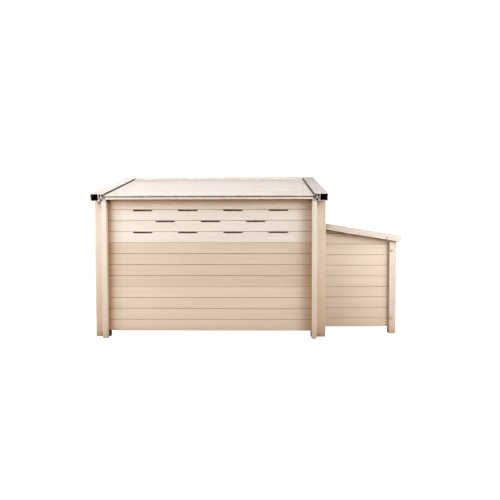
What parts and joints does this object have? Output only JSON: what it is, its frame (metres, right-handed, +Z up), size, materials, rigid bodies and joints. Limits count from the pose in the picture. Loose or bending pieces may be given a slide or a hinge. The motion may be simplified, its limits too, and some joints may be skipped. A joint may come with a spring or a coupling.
{
  "type": "rabbit hutch",
  "caption": "Shed-roofed rabbit hutch of tongue-and-groove boards on corner posts, with a lifting roof, mesh doors, a pull-out tray and a lidded nest box at one end.",
  "frame": {"origin": "on the ground, under the centre of the whole hutch's outline, roof and nest lid included", "axes": "+X along the body towards the nest box, +Y towards the side with the doors and the tray (the roof's high side), +Z up"},
  "size_m": [1.4211, 0.5946, 0.7943],
  "materials": {
    "wall_composite": "satin wood-plastic composite, fine extruded grain",
    "post_composite": "satin wood-plastic composite",
    "frame_composite": "satin wood-plastic composite",
    "roof_composite": "satin wood-plastic composite",
    "roof_rail_composite": "satin wood-plastic composite",
    "nest_composite": "satin wood-plastic composite",
    "lid_composite": "satin wood-plastic composite",
    "floor_composite": "satin wood-plastic composite",
    "mesh_wire": "galvanised welded wire",
    "hinge_steel": "zinc-plated",
    "tray_plastic": "moulded, fine texture",
    "cap_plastic": "moulded, satin",
    "knob_plastic": "moulded, satin",
    "button_plastic": "moulded, satin"
  },
  "bodies": {
    "hutch": {"button_screw": "hinge_steel", "centre_mullion": "frame_composite", "dome_bolts": "cap_plastic", "door_hinge_frame_leaves": "hinge_steel", "floor_bearers": "floor_composite", "floor_panel": "floor_composite", "header_rail": "frame_composite", "hinge_pins": "hinge_steel", "left_wall_board_1": "wall_composite", "left_wall_board_2": "wall_composite", "left_wall_board_3": "wall_composite", "left_wall_board_top": "wall_composite", "low_wall_board_lower": "wall_composite", "low_wall_board_middle": "wall_composite", "low_wall_board_vented": "wall_composite", "nest_end_wall_boards": "nest_composite", "nest_floor": "nest_composite", "nest_high_wall_boards": "nest_composite", "nest_hinge_wall_leaves": "hinge_steel", "nest_low_wall_boards": "nest_composite", "nest_post_high": "nest_composite", "nest_post_low": "nest_composite", "post_high_left": "post_composite", "post_high_right": "post_composite", "post_low_left": "post_composite", "post_low_right": "post_composite", "right_wall_board_1": "wall_composite", "right_wall_board_2": "wall_composite", "right_wall_board_3": "wall_composite", "right_wall_board_top": "wall_composite", "roof_hinge_frame_leaves": "hinge_steel", "screw_caps": "cap_plastic", "sill_rail": "frame_composite", "tray_rail": "frame_composite"},
    "roof": {"roof_rail_left": "roof_rail_composite", "roof_rail_right": "roof_rail_composite", "roof_board_low": "roof_composite", "roof_board_middle": "roof_composite", "roof_board_high": "roof_composite", "roof_hinge_rail": "roof_composite", "roof_hinge_lid_leaves": "hinge_steel"},
    "nest_lid": {"nest_lid_boards": "lid_composite", "nest_lid_rail_low": "lid_composite", "nest_lid_rail_high": "lid_composite", "nest_hinge_lid_leaves": "hinge_steel"},
    "left_door": {"left_door_stiles": "frame_composite", "left_door_rails": "frame_composite", "left_door_panel": "frame_composite", "left_door_mesh": "mesh_wire", "left_door_knob": "knob_plastic", "left_door_hinge_leaves": "hinge_steel"},
    "right_door": {"right_door_stiles": "frame_composite", "right_door_rails": "frame_composite", "right_door_panel": "frame_composite", "right_door_mesh": "mesh_wire", "right_door_knob": "knob_plastic", "right_door_hinge_leaves": "hinge_steel"},
    "turn_button": {"turn_button": "button_plastic"},
    "tray": {"tray_pan": "tray_plastic", "tray_front": "frame_composite"}
  },
  "joints": [
    {"name": "roof_hinge", "type": "hinge", "parent": "hutch", "child": "roof", "pos_m": [-0.181, 0.27107, 0.7504], "axis": [-1, 0, 0], "range_deg": [0, 105]},
    {"name": "nest_lid_hinge", "type": "hinge", "parent": "hutch", "child": "nest_lid", "pos_m": [0.3223, -0.01073, 0.52617], "axis": [0, -1, 0], "range_deg": [0, 75]},
    {"name": "left_door_hinge", "type": "hinge", "parent": "hutch", "child": "left_door", "pos_m": [-0.64125, 0.27107, 0.42], "axis": [0, 0, 1], "range_deg": [0, 110]},
    {"name": "right_door_hinge", "type": "hinge", "parent": "hutch", "child": "right_door", "pos_m": [0.27925, 0.27107, 0.42], "axis": [0, 0, -1], "range_deg": [0, 110]},
    {"name": "button_turn", "type": "hinge", "parent": "hutch", "child": "turn_button", "pos_m": [-0.181, 0.27027, 0.468], "axis": [0, 1, 0], "range_deg": [0, 90]},
    {"name": "tray_slide", "type": "slide", "parent": "hutch", "child": "tray", "axis": [0, 1, 0], "range_m": [0, 0.4]}
  ]
}
